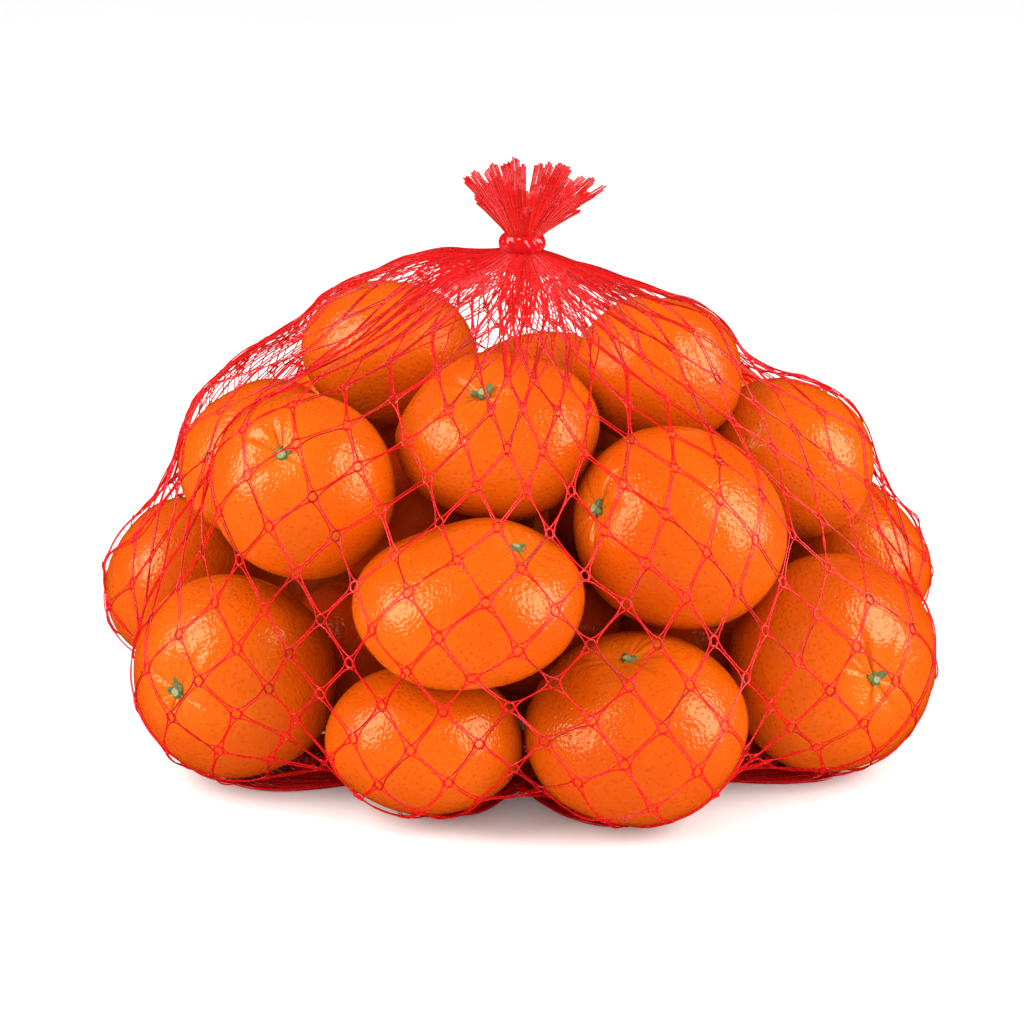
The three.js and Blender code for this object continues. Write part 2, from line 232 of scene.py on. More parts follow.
# Painted shade on the tuft: darkest at its foot, lighter towards the tips
TUFT_SHADE = (2.1, 1.1)
TUFT_STEPS = 9
TUFT_SLIT = 0.22
TUFT_SKEW = 2.2
TUFT_SHORTER = (0.58, 0.84)
TUFT_FRAY = (-0.5, 0.4)
TUFT_STRAY = 0.35
TUFT_WAVE = 0.2
TUFT_FOOT_WIDTH = 3.3
TUFT_FOOT_DEPTH = 2.3
TUFT_ROOT = 4.5
TUFT_KNEE = 2.5

# The clip round the neck (mm): the circle in the middle of the band, how far the band reaches out, in and up
# from it, what the lobes on the left and right add to that, and how uneven it is
CLIP_HEIGHT = 152.6
CLIP_CIRCLE = 4.35
CLIP_OUT = 1.6
CLIP_IN = 0.6
CLIP_UP = 2.6
LOBE_CIRCLE = 0.2
LOBE_OUT = 0.75
LOBE_UP = 0.4
CLIP_BUMPS = 0.14
CLIP_WINDING = 0.2
CLIP_WAVE = 0.18
CLIP_COLUMNS = 72
CLIP_SIDES = 28

# Colours, as linear red, green and blue, and gloss
PEEL_LIGHT = (0.545, 0.074, 0.001)
PEEL_DARK = (0.48, 0.052, 0.001)
PEEL_BLOTCH = (0.565, 0.096, 0.002)
PEEL_PORE = (0.39, 0.033, 0.001)
PEEL_STEM = (0.58, 0.135, 0.006)
# Painted shade on the peel of the fruit deep in the heap
PEEL_PAINTED_SHADE = (0.32, 0.022, 0.001)
PEEL_SHEEN = (1, 0.84, 0.42, 1)
PEEL_GLOSS = 0.6
# The weaker sheen of the shaded copy of the peel, for the fruit deep in the heap
SHADED_GLOSS = 0.1
NET_LIGHT = (0.7, 0.006, 0.008)
NET_MIDDLE = (0.5, 0.0015, 0.003)
NET_STRETCHED = (0.5, 0.002, 0.004)
NET_STREAK = (0.58, 0.006, 0.007)
NET_DARK = (0.28, 0.004, 0.003)
CLIP_LIGHT = (0.5, 0.005, 0.008)
CLIP_DARK = (0.37, 0.002, 0.003)
CALYX_GREEN = (0.045, 0.085, 0.012)
CALYX_OLIVE = (0.1, 0.105, 0.02)
CALYX_PALE = (0.25, 0.27, 0.1)
CALYX_BROWN = (0.035, 0.03, 0.008)
FLOOR_LIGHT = (0.96, 0.96, 0.96)
FLOOR_DARK = (0.93, 0.93, 0.93)

# Floor, light and camera (m)
FLOOR_SIZE = 30
WORLD_STRENGTH = 1.05
LIGHT_TARGET = (0, 0, 0.08)
FILL_TARGET = (0, 0, 0.06)
CAMERA_SPOT = (-0.002, -0.775, 0.2925)
CAMERA_DOWN = 16
CAMERA_LENS = 93.76
CAMERA_SENSOR = 36

rng = np.random.default_rng(SEED)


def unit(vectors):
    return vectors / np.maximum(np.linalg.norm(vectors, axis=-1, keepdims=True), 1e-9)


def smooth_rise(value, start, end):
    share = np.clip((value - start) / (end - start), 0, 1)
    return share * share * (3 - 2 * share)


def mesh_object(name, points, faces, material, **attributes):
    """A smooth mesh piece from points in millimetres, with one number for each point in each attribute."""
    mesh = bpy.data.meshes.new(name)
    mesh.from_pydata((np.asarray(points) * MM).tolist(), [], faces, shade_flat=False)
    for label, values in attributes.items():
        layer = mesh.attributes.new(name=label, type="FLOAT", domain="POINT")
        layer.data.foreach_set("value", np.asarray(values, dtype=np.float32))
    mesh.materials.append(material)
    piece = bpy.data.objects.new(name, mesh)
    bpy.context.collection.objects.link(piece)
    return piece


def place(piece, node):
    """Ties a piece to the root body and hides the solid that it stands for."""
    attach(piece, "root")
    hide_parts(node)


def grid_faces(rows, columns):
    """Quads between rows of points, each row closed round on itself."""
    low = np.arange(rows - 1)[:, None] * columns
    here = np.arange(columns)[None, :]
    following = (here + 1) % columns
    high = low + columns
    return np.stack([low + here, high + here, high + following, low + following], axis=-1).reshape(-1, 4)


def tubes(paths, normals, radii, sides, closed=False):
    """Points and quads of tubes along many paths with the same number of points each."""
    paths = np.asarray(paths, dtype=float)
    count, length = paths.shape[:2]
    tangent = np.roll(paths, -1, axis=1) - np.roll(paths, 1, axis=1)
    if not closed:
        tangent[:, 0] = paths[:, 1] - paths[:, 0]
        tangent[:, -1] = paths[:, -1] - paths[:, -2]
    tangent = unit(tangent)
    side = unit(np.cross(tangent, normals))
    lift = np.cross(side, tangent)
    angle = 2 * np.pi * np.arange(sides) / sides
    ring = np.cos(angle)[:, None] * side[:, :, None] + np.sin(angle)[:, None] * lift[:, :, None]
    radii = np.broadcast_to(np.asarray(radii, dtype=float), (count, length))
    points = paths[:, :, None] + radii[:, :, None, None] * ring
    spans = length if closed else length - 1
    base = (np.arange(count) * length * sides)[:, None, None]
    low = base + (np.arange(spans) * sides)[None, :, None]
    high = base + ((np.arange(spans) + 1) % length * sides)[None, :, None]
    here = np.arange(sides)[None, None, :]
    following = (here + 1) % sides
    faces = np.stack([low + here, high + here, high + following, low + following], axis=-1)
    return points.reshape(-1, 3), faces.reshape(-1, 4)


def end_caps(count, length, sides):
    """Faces that close both ends of open tubes laid out as tubes() lays them."""
    base = (np.arange(count) * length * sides)[:, None]
    here = np.arange(sides)[None, :]
    last = base + (length - 1) * sides
    return np.concatenate([base + here, last + here[:, ::-1]])


# Fruit


def turn_to(direction):
    """The turn that takes +Z to a direction, for points in rows: turned = points @ turn."""
    return np.array(Vector((0, 0, 1)).rotation_difference(Vector(direction).normalized()).to_matrix()).T


class Fruit:
    """Where one fruit lies: its centre, half sizes, the turn from its own axes and its stem end in them."""

    def __init__(self, centre, width, height, axis, stem=None):
        self.centre = np.array(centre, dtype=float)
        self.half = np.array((width / 2, width / 2, height / 2))
        self.turn = turn_to(axis)
        self.stem = unit(np.array(stem or axis, dtype=float)) @ self.turn.T
        self.stem_normal = unit(self.stem / self.half)

    def to_world(self, local):
        return local @ self.turn + self.centre

    def to_local(self, points):
        return (points - self.centre) @ self.turn.T


fruits = [Fruit(*row) for row in FRUIT]


def fruit_points(fruit, columns, rows):
    """Points of a lumpy fruit with a creased stem dimple, with their nearness to the stem and their tone."""
    polar = np.pi * np.linspace(0, 1, rows + 1) ** POLE_CROWDING
    around = 2 * np.pi * np.arange(columns) / columns
    polar, around = np.meshgrid(polar[1:-1], around, indexing="ij")
    polar = np.concatenate([[0.0], polar.ravel(), [np.pi]])
    around = np.concatenate([[0.0], around.ravel(), [0.0]])
    out = np.stack([np.sin(polar) * np.cos(around), np.sin(polar) * np.sin(around), np.cos(polar)], axis=-1)
    lump = np.zeros(len(out))
    tone = np.full(len(out), rng.uniform(-0.5, 0.5))
    for _ in range(LUMPS):
        facing = unit(rng.normal(size=3))
        along = out @ facing
        lump += LUMP_HEIGHT * np.cos(rng.uniform(*LUMP_WAVES) * along + rng.uniform(*ANY_PHASE))
        tone += TONE_STEP * np.cos(rng.uniform(*TONE_WAVES) * along + rng.uniform(*ANY_PHASE))
    across = np.sin(polar)
    stem_side = polar < np.pi / 2
    crease = np.zeros(len(out))
    for start in rng.uniform(0, 2 * np.pi, CREASES):
        turn = (around - start + np.pi) % (2 * np.pi) - np.pi
        crease += rng.uniform(*CREASE_STRENGTH) * np.exp(-(turn / rng.uniform(*CREASE_WIDTH)) ** 2)
    crease *= CREASE_DEPTH * np.exp(-((across - CREASE_MIDDLE) / CREASE_REACH) ** 2) * stem_side
    dimple = DIMPLE_DEPTH * np.exp(-(across / DIMPLE_WIDTH) ** 2) * stem_side
    navel = NAVEL_DEPTH * np.exp(-(across / NAVEL_WIDTH) ** 2) * ~stem_side
    out = out @ turn_to(fruit.stem)
    local = out * fruit.half + out * (np.minimum(lump - LUMP_SINK, LUMP_LIMIT) - crease)[:, None]
    local += fruit.stem_normal * (navel - dimple)[:, None]
    stem = np.exp(-(across / STEM_GLOW) ** 2) * stem_side
    return fruit.to_world(local), stem, np.clip(tone, -1, 1)


def fruit_faces(columns, rows):
    """Quads over the fruit with a fan of triangles at each pole."""
    body = grid_faces(rows - 1, columns) + 1
    here = np.arange(columns)
    following = (here + 1) % columns
    last = (rows - 1) * columns + 1
    below = last - columns
    first_fan = np.stack([np.zeros_like(here), 1 + here, 1 + following], axis=-1)
    last_fan = np.stack([np.full_like(here, last), below + following, below + here], axis=-1)
    return body.tolist() + first_fan.tolist() + last_fan.tolist()


def calyx_points(fruit):
    """Rings of points from the middle of the stalk scar out over the sepals and down into the peel."""
    around = 2 * np.pi * np.arange(CALYX_COLUMNS) / CALYX_COLUMNS
    shift = rng.uniform(0, 2 * np.pi)
    petal = np.abs(np.cos((around - shift) * SEPALS / 2)) ** 1.4
    once = 0.35 * np.cos(around + rng.uniform(*CALYX_PHASE))
    twice = 0.2 * np.cos(2 * around + rng.uniform(*CALYX_PHASE))
    petal *= 0.75 + once + twice
    size = rng.uniform(*SEPAL_SIZE)
    ragged = 1 + 0.14 * np.cos(3 * around + rng.uniform(*CALYX_PHASE))
    ragged += 0.1 * rng.uniform(-1, 1, CALYX_COLUMNS)
    reach = size * ragged * (SEPAL_VALLEY + (SEPAL_REACH - SEPAL_VALLEY) * petal)
    curl = SEPAL_CURL * np.cos(2 * around + rng.uniform(*CALYX_PHASE))
    stalk = rng.uniform(*STALK_RADIUS)
    tall = rng.uniform(*STALK_HEIGHT)
    rings = []
    paleness = []
    for radius, height, pale in STALK_RINGS:
        rings.append((np.full(CALYX_COLUMNS, radius * stalk), np.full(CALYX_COLUMNS, height * tall + 0.3)))
        paleness.append(np.full(CALYX_COLUMNS, pale))
    for share, height, pale in SEPAL_RINGS:
        radius = np.maximum(share * reach, 1.2 * stalk)
        rings.append((radius, height + curl * share * (height > 0)))
        paleness.append(np.full(CALYX_COLUMNS, pale))
    points = []
    reach_at_stem = np.linalg.norm(fruit.stem * fruit.half)
    for radius, height in rings:
        across = radius / fruit.half[0]
        fall = reach_at_stem * (np.sqrt(1 - across ** 2) - 1)
        seat = fall - DIMPLE_DEPTH * np.exp(-(across / DIMPLE_WIDTH) ** 2) - LUMP_SINK / 2
        points.append(np.stack([radius * np.cos(around), radius * np.sin(around), seat + height], axis=-1))
    points = np.concatenate(points) @ turn_to(fruit.stem_normal) + fruit.stem * fruit.half
    return fruit.to_world(points), np.concatenate(paleness), len(rings)


# Net


def push_out(points):
    """Moves points that are inside a fruit, or below the ground, out to the net's clearance."""
    for fruit in fruits:
        half = fruit.half + NET_CLEARANCE
        local = fruit.to_local(points)
        depth = np.linalg.norm(local / half, axis=-1)
        inside = (depth < 1) & (depth > 0.2)
        if inside.any():
            part = local[inside]
            slope = part / half ** 2 / depth[inside, None]
            step = (1 - depth[inside, None]) / np.linalg.norm(slope, axis=-1, keepdims=True)
            points[inside] = fruit.to_world(part + unit(slope) * step)
    points[:, 2] = np.maximum(points[:, 2], BASE_HEIGHT)


def drawn_membrane(columns, rows):
    """A skin drawn taut over the heap along rays from its middle; row 0 is the base, the last the neck."""
    neck = np.array((NECK_RADIUS, NECK_HEIGHT - HEAP_CENTRE[2]))
    polar = np.linspace(0, np.pi - math.atan2(*neck), rows + 1)[:, None]
    around = 2 * np.pi * np.arange(columns)[None, :] / columns
    fall = np.broadcast_to(np.cos(polar), (rows + 1, columns))
    rays = np.stack([np.sin(polar) * np.cos(around), np.sin(polar) * np.sin(around), -fall], axis=-1)
    drop = HEAP_CENTRE[2] - BASE_HEIGHT
    ground = np.where(fall > 1e-6, drop / np.maximum(fall, 1e-6), 1e6)
    stop = np.zeros(rays.shape[:2])
    for fruit in fruits:
        half = fruit.half + NET_CLEARANCE
        start = fruit.to_local(HEAP_CENTRE) / half
        step = rays @ fruit.turn.T / half
        along = step @ start
        square = (step ** 2).sum(axis=-1)
        inside = along ** 2 - square * (start @ start - 1)
        stop = np.maximum(stop, np.where(inside > 0, (np.sqrt(np.maximum(inside, 0)) - along) / square, 0))
    stop = np.minimum(stop, ground)
    reach = np.minimum(SKIN_REACH, ground)
    reach[-1] = np.hypot(*neck)
    chequer = (np.add.outer(np.arange(rows + 1), np.arange(columns)) % 2)[1:-1]
    for step in range(2 * DRAW_STEPS):
        skin = rays * reach[..., None]
        mean = (skin[:-2] + skin[2:] + np.roll(skin, 1, axis=1)[1:-1] + np.roll(skin, -1, axis=1)[1:-1]) / 4
        drawn = reach[1:-1] + DRAW_PULL * ((mean * rays[1:-1]).sum(axis=-1) - reach[1:-1])
        reach[1:-1] = np.where(chequer == step % 2, np.clip(drawn, stop[1:-1], ground[1:-1]), reach[1:-1])
    return HEAP_CENTRE + rays * reach[..., None]


def even_rings(skin):
    """The same skin with the points of each ring an equal way apart."""
    rings = []
    for row in skin:
        ring = np.concatenate([row, row[:1]])
        run = np.concatenate([[0], np.cumsum(np.linalg.norm(np.diff(ring, axis=0), axis=-1))])
        stations = np.linspace(0, run[-1], len(row), endpoint=False)
        rings.append(np.stack([np.interp(stations, run, ring[:, axis]) for axis in range(3)], axis=-1))
    return np.array(rings)


def start_knots():
    """Knots spread along the meridians of the drawn skin, every other row half a cell further round."""
    skin = even_rings(drawn_membrane(2 * NET_COLUMNS, SKIN_ROWS))
    knots = np.zeros((NET_ROWS + 1, NET_COLUMNS, 3))
    for column in range(2 * NET_COLUMNS):
        meridian = skin[:, column]
        run = np.concatenate([[0], np.cumsum(np.linalg.norm(np.diff(meridian, axis=0), axis=-1))])
        stations = np.linspace(BASE_RADIUS, run[-1], NET_ROWS + 1)
        rows = np.arange(column % 2, NET_ROWS + 1, 2)
        for axis in range(3):
            knots[rows, column // 2, axis] = np.interp(stations[rows], run, meridian[:, axis])
    return knots


def strand_ends():
    """Index pairs of the knots that each strand joins: first all that lean to the right, then to the left."""
    row, column = np.meshgrid(np.arange(NET_ROWS), np.arange(NET_COLUMNS), indexing="ij")
    low = row * NET_COLUMNS + column
    right = (row + 1) * NET_COLUMNS + (column + row % 2) % NET_COLUMNS
    left = (row + 1) * NET_COLUMNS + (column - 1 + row % 2) % NET_COLUMNS
    return np.concatenate([low.ravel(), low.ravel()]), np.concatenate([right.ravel(), left.ravel()])


def tent_lift(points):
    """How much higher the stiff gathered net stands round the neck than a slack one would."""
    across = points[:, :2] - HEAP_CENTRE[:2]
    distance = np.linalg.norm(across, axis=-1)
    facing = across / np.maximum(distance, 1e-6)[:, None]
    lift = TENT_LIFT - TENT_LIFT_LEFT * facing[:, 0] - TENT_SINK_FRONT * np.maximum(-facing[:, 1], 0)
    share = np.clip((distance - NECK_RADIUS) / TENT_REACH, 0, 1)
    return lift * np.sin(np.pi * share) ** 2 * (points[:, 2] > HEAP_CENTRE[2])


def billowed(points):
    """The way that each point of the net stands off its tight course."""
    push = np.zeros(len(points))
    for middle, reach, height in BILLOWS:
        apart = (points - middle) * (1, 0.5, 1)
        push += height * np.exp(-(apart ** 2).sum(axis=-1) / reach ** 2)
    return unit(points - HEAP_CENTRE) * push[:, None]


def settled_net():
    """Knots, and the four points along each strand, of a net pulled tight over the fruit."""
    knots = start_knots().reshape(-1, 3)
    low, high = strand_ends()
    strands = len(low)
    first = len(knots) + np.arange(strands)
    second = first + strands
    near_low = knots[low] * 2 / 3 + knots[high] / 3
    near_high = knots[low] / 3 + knots[high] * 2 / 3
    points = np.concatenate([knots, near_low, near_high])
    free = np.ones(len(points))
    free[:NET_COLUMNS] = 0
    free[NET_ROWS * NET_COLUMNS:len(knots)] = 0
    third = STRAND_LENGTH / 3 * rng.uniform(1 - STRAND_SPREAD, 1 + STRAND_SPREAD, strands)
    half = strands // 2
    groups = [
        (low[:half], first[:half], third[:half]),
        (low[half:], first[half:], third[half:]),
        (first, second, third),
        (second[:half], high[:half], third[:half]),
        (second[half:], high[half:], third[half:]),
    ]
    ends = np.concatenate([low, high])
    near = np.concatenate([first, second])
    stiff = rng.uniform(1 - EVEN_SPREAD, 1 + EVEN_SPREAD, len(ends))
    total = np.bincount(ends, weights=stiff)[:, None]
    even = EVEN_OUT * free[:len(knots), None]
    for step in range(SETTLE_STEPS):
        slack = 1 + START_SLACK * max(0, 1 - step / SLACK_STEPS)
        sums = [np.bincount(ends, weights=stiff * points[near, axis]) for axis in range(3)]
        mean = np.stack(sums, axis=-1) / total
        points[:len(knots)] += even * (mean - points[:len(knots)])
        points[first] += STRAIGHTEN * ((points[low] + points[second]) / 2 - points[first])
        points[second] += STRAIGHTEN * ((points[first] + points[high]) / 2 - points[second])
        order = groups if step % 2 else groups[::-1]
        for start, end, rest in order:
            gap = points[end] - points[start]
            span = np.linalg.norm(gap, axis=-1)
            share = np.maximum(span - rest * slack, 0) / np.maximum(span, 1e-6)
            share = share / np.maximum(free[start] + free[end], 1e-6)
            points[start] += gap * (share * free[start])[:, None]
            points[end] -= gap * (share * free[end])[:, None]
        push_out(points)
    points[:, 2] += tent_lift(points)
    points += billowed(points)
    push_out(points)
    path = np.stack([points[low], points[first], points[second], points[high]], axis=1)
    return points[:len(knots)].reshape(NET_ROWS + 1, NET_COLUMNS, 3), path


def knot_frames(knots, path):
    """The net at each knot: its outward normal, its upward direction and how far its cells are open."""
    low, high = strand_ends()
    half = len(low) // 2
    leaving = unit(path[:, 1] - path[:, 0])
    arriving = unit(path[:, 3] - path[:, 2])
    count = (NET_ROWS + 1) * NET_COLUMNS
    right = np.zeros((count, 3))
    left = np.zeros((count, 3))
    right[low[:half]] += leaving[:half]
    right[high[:half]] += arriving[:half]
    left[low[half:]] += leaving[half:]
    left[high[half:]] += arriving[half:]
    right, left = unit(right), unit(left)
    up = unit(right + left)
    normal = np.cross(right, left)
    outward = knots.reshape(-1, 3) - HEAP_CENTRE
    normal = unit(normal + 1e-3 * unit(outward))
    normal *= np.sign((normal * outward).sum(axis=-1))[:, None]
    openness = np.linalg.norm(right - left, axis=-1) / np.maximum(np.linalg.norm(right + left, axis=-1), 1e-3)
    return normal, up, np.clip(openness, 0, 1.3)


def spline(path, shares):
    """Points at the given shares along smooth curves through four points each."""
    first = 2 * path[:, :1] - path[:, 1:2]
    last = 2 * path[:, -1:] - path[:, -2:-1]
    held = np.concatenate([first, path, last], axis=1)
    station = np.clip(np.asarray(shares) * 3, 0, 2.999999)
    span = station.astype(int)
    t = (station - span)[None, :, None]
    a, b, c, d = (held[:, span + k] for k in range(4))
    square = 2 * a - 5 * b + 4 * c - d
    cube = 3 * b - a - 3 * c + d
    return 0.5 * (2 * b + (c - a) * t + square * t ** 2 + cube * t ** 3)


def net_strands(path, normal, openness):
    """Paths and normals of the two filaments of each strand, which open round the knots at both ends."""
    low, high = strand_ends()
    shares = np.array(STRAND_STATIONS)
    length = np.linalg.norm(path[:, 3] - path[:, 0], axis=-1)
    row = low // NET_COLUMNS
    held_back = KNOT_OVERLAP * KNOT_RADIUS / length
    start = held_back * (row < KNOT_ROWS)
    end = 1 - held_back * (row + 1 < KNOT_ROWS)
    shares = start[:, None] + shares * (end - start)[:, None]
    centre = np.stack([spline(path[k:k + 1], shares[k])[0] for k in range(len(path))])
    facing = unit(normal[low][:, None] * (1 - shares[..., None]) + normal[high][:, None] * shares[..., None])
    tangent = unit(np.gradient(centre, axis=1))
    side = unit(np.cross(tangent, facing))
    facing = np.cross(side, tangent)
    twist = rng.uniform(-STRAND_TWIST, STRAND_TWIST, len(path))[:, None] * np.sin(np.pi * shares) ** 2
    across = np.cos(twist)[..., None] * side + np.sin(twist)[..., None] * facing
    from_low = np.exp(-((shares * length[:, None]) / KNOT_OPENING) ** 2)
    from_high = np.exp(-(((1 - shares) * length[:, None]) / KNOT_OPENING) ** 2)
    spread_low = KNOT_RADIUS * KNOT_SPREAD * np.minimum(openness[low], 1)[:, None]
    spread_high = KNOT_RADIUS * KNOT_SPREAD * np.minimum(openness[high], 1)[:, None]
    gap = PAIR_GAP + spread_low * from_low + spread_high * from_high
    return centre + across * gap[..., None], centre - across * gap[..., None], facing


def gathered(path, normal):
    """More filaments where the net is bunched: each lies between two strands and joins one lower down."""
    low, high = strand_ends()
    shares = np.linspace(0, 1, GATHER_STEPS)
    lines = spline(path, shares)
    facing = unit(normal[low][:, None] * (1 - shares[:, None]) + normal[high][:, None] * shares[:, None])
    level = (low // NET_COLUMNS)[:, None] + shares
    across = lines - HEAP_CENTRE
    around = np.arctan2(across[..., 1], across[..., 0])
    bearing = np.radians(np.interp(level, FLANK_ROWS, FLANK_BEARINGS))
    flank = smooth_rise(np.cos(around - bearing), FLANK_START, FLANK_END)
    rings = lines.reshape(2, NET_ROWS, NET_COLUMNS, GATHER_STEPS, 3)
    aside = np.roll(rings, -1, axis=2).reshape(lines.shape) - lines
    added = []
    normals = []
    for share, rows, flank_rows in GATHERED:
        start = NET_ROWS - rows - GATHER_FRONT * np.maximum(-np.sin(around), 0) ** 2 - flank_rows * flank
        nearness = smooth_rise(level, start, start + GATHER_FADE + FLANK_FADE * flank)
        chosen = nearness.max(axis=1) > 0
        weight = nearness * (share + GATHER_SWAY * np.sin(GATHER_SWAYS * around + 20 * share))
        added.append((lines + aside * weight[..., None])[chosen])
        normals.append(facing[chosen])
    added = np.concatenate(added)
    points = added.reshape(-1, 3)
    push_out(points)
    return points.reshape(added.shape), np.concatenate(normals)


def hem_paths(path):
    """Closed paths of the net folded under the fruit, inside the net that rises from the ground."""
    low = path.reshape(-1, 3)
    low = low[low[:, 2] < BASE_HEIGHT + HEM_LIFT]
    across = low - HEAP_CENTRE
    around = np.arctan2(across[:, 1], across[:, 0])
    reach = np.hypot(across[:, 0], across[:, 1]) - HEM_SHELTER * (low[:, 2] - BASE_HEIGHT)
    bearing = 2 * np.pi * np.arange(HEM_STEPS) / HEM_STEPS
    apart = np.abs((bearing[:, None] - around + np.pi) % (2 * np.pi) - np.pi)
    rim = np.where(apart < np.pi / NET_COLUMNS, reach, 0).max(axis=1)
    for _ in range(HEM_SMOOTHING):
        rim = (rim + np.roll(rim, 1) + np.roll(rim, -1)) / 3
    paths = []
    for row in range(HEM_ROWS):
        drift = HEM_DRIFT * np.sin(3 * bearing + row)
        wave = HEM_WAVE * np.cos(HEM_CELLS * bearing + np.pi * row + drift) * min(1, 0.3 + row / 4)
        radius = rim - HEM_INSET - HEM_PITCH * row + wave + rng.normal(0, HEM_JITTER, HEM_STEPS)
        x = HEAP_CENTRE[0] + radius * np.cos(bearing)
        y = HEAP_CENTRE[1] + radius * np.sin(bearing)
        z = BASE_HEIGHT + HEM_RIPPLE * np.sin(7 * bearing + 2.1 * row)
        paths.append(np.stack([x, y, z], axis=-1))
    return np.array(paths)


def net_knots(knots, normal, up, openness):
    """Closed paths of the small rings where strands meet, drawn narrow where the net is pulled together."""
    around = 2 * np.pi * np.arange(KNOT_STEPS) / KNOT_STEPS
    side = np.cross(up, normal)
    wide = KNOT_RADIUS * np.clip(openness, 0.3, 1.1) ** 0.6
    tall = KNOT_RADIUS * (1.25 - 0.25 * np.clip(openness, 0, 1))
    centre = knots.reshape(-1, 3)
    paths = (
        centre[:, None]
        + up[:, None] * (tall[:, None] * np.cos(around))[..., None]
        + side[:, None] * (wide[:, None] * np.sin(around))[..., None]
    )
    kept = slice(0, KNOT_ROWS * NET_COLUMNS)
    return paths[kept], np.broadcast_to(normal[:, None], paths.shape)[kept]


# Tuft and clip


def tuft_filaments():
    """Paths and normals of the cut filaments: flat clumps side by side in a fan, in a few layers of depth."""
    paths = []
    normals = []
    t = np.linspace(0, 1, TUFT_STEPS)[:, None]
    tallest = rng.integers(len(TUFT_LAYERS), size=len(TUFT_CLUMPS))
    for index, layer in itertools.product(range(len(TUFT_CLUMPS)), range(len(TUFT_LAYERS))):
        lean, length, width = TUFT_CLUMPS[index]
        is_tallest = layer == tallest[index]
        depth = TUFT_LAYERS[layer] + rng.uniform(-TUFT_STRAY, TUFT_STRAY)
        angle = math.radians(lean + (0 if is_tallest else rng.uniform(-1, 1)))
        reach = (length - TUFT_SKEW * (depth + 1)) * (1 if is_tallest else rng.uniform(*TUFT_SHORTER))
        along = unit(np.array((math.sin(angle), TUFT_DEPTH * depth / length, math.cos(angle))))
        flat = unit(np.cross(along, (0, 1, 0)) + np.array((0, rng.uniform(-0.3, 0.3), 0)))
        face = np.cross(flat, along)
        foot_x = HEAP_CENTRE[0] + TUFT_FOOT_WIDTH * math.sin(angle)
        foot = np.array((foot_x, TUFT_FOOT_DEPTH * depth, TUFT_FOOT))
        root = foot + np.array((-0.25 * math.sin(angle), 0, -TUFT_ROOT))
        knee = foot + along * TUFT_KNEE
        members = round(width / TUFT_PITCH) + 1
        for aside in np.linspace(-0.5, 0.5, members):
            cut = reach - TUFT_ROUND * (2 * aside) ** 2 + rng.uniform(*TUFT_FRAY)
            start = root + flat * aside * 0.5
            bend = knee + flat * aside * 0.8
            tip = foot + along * cut + flat * aside * width
            curve = start * (1 - t) ** 2 + 2 * bend * t * (1 - t) + tip * t ** 2
            curve += face * (TUFT_WAVE * np.sin(t * rng.uniform(3, 7) + rng.uniform(0, 6)) * t)
            opening = np.sin(np.pi * np.clip((t - 0.4) / 0.6, 0, 1)) ** 2
            curve += flat * (TUFT_SLIT * opening * (1 if aside > 0 else -1))
            paths.append(curve)
            normals.append(np.broadcast_to(face, curve.shape))
    return np.array(paths), np.array(normals)


def clip_points():
    """A wound band round the neck: a section round on the outside and flat against the neck."""
    around = 2 * np.pi * np.arange(CLIP_COLUMNS)[:, None] / CLIP_COLUMNS
    turn = 2 * np.pi * np.arange(CLIP_SIDES)[None, :] / CLIP_SIDES
    lobe = np.cos(around) ** 6
    thick = CLIP_OUT + LOBE_OUT * lobe
    middle = CLIP_CIRCLE + LOBE_CIRCLE * lobe
    radius = middle + np.where(np.cos(turn) > 0, thick, CLIP_IN) * np.cos(turn)
    bumps = CLIP_BUMPS * np.cos(9 * around + 2) * np.cos(turn)
    winding = CLIP_WINDING * np.sin(4 * turn + 13 * around) * (1 - lobe)
    height = (CLIP_UP + LOBE_UP * lobe) * np.sin(turn) + CLIP_WAVE * np.sin(2 * around + 0.7)
    radius = radius + (bumps + winding)
    x = HEAP_CENTRE[0] + radius * np.cos(around)
    y = HEAP_CENTRE[1] + radius * np.sin(around)
    return np.stack([x, y, CLIP_HEIGHT + height], axis=-1).reshape(-1, 3)


def clip_faces():
    column = np.arange(CLIP_COLUMNS)[:, None]
    side = np.arange(CLIP_SIDES)[None, :]
    here = column * CLIP_SIDES
    following = (column + 1) % CLIP_COLUMNS * CLIP_SIDES
    next_side = (side + 1) % CLIP_SIDES
    corners = [here + side, following + side, following + next_side, here + next_side]
    return np.stack(corners, axis=-1).reshape(-1, 4)


# Materials


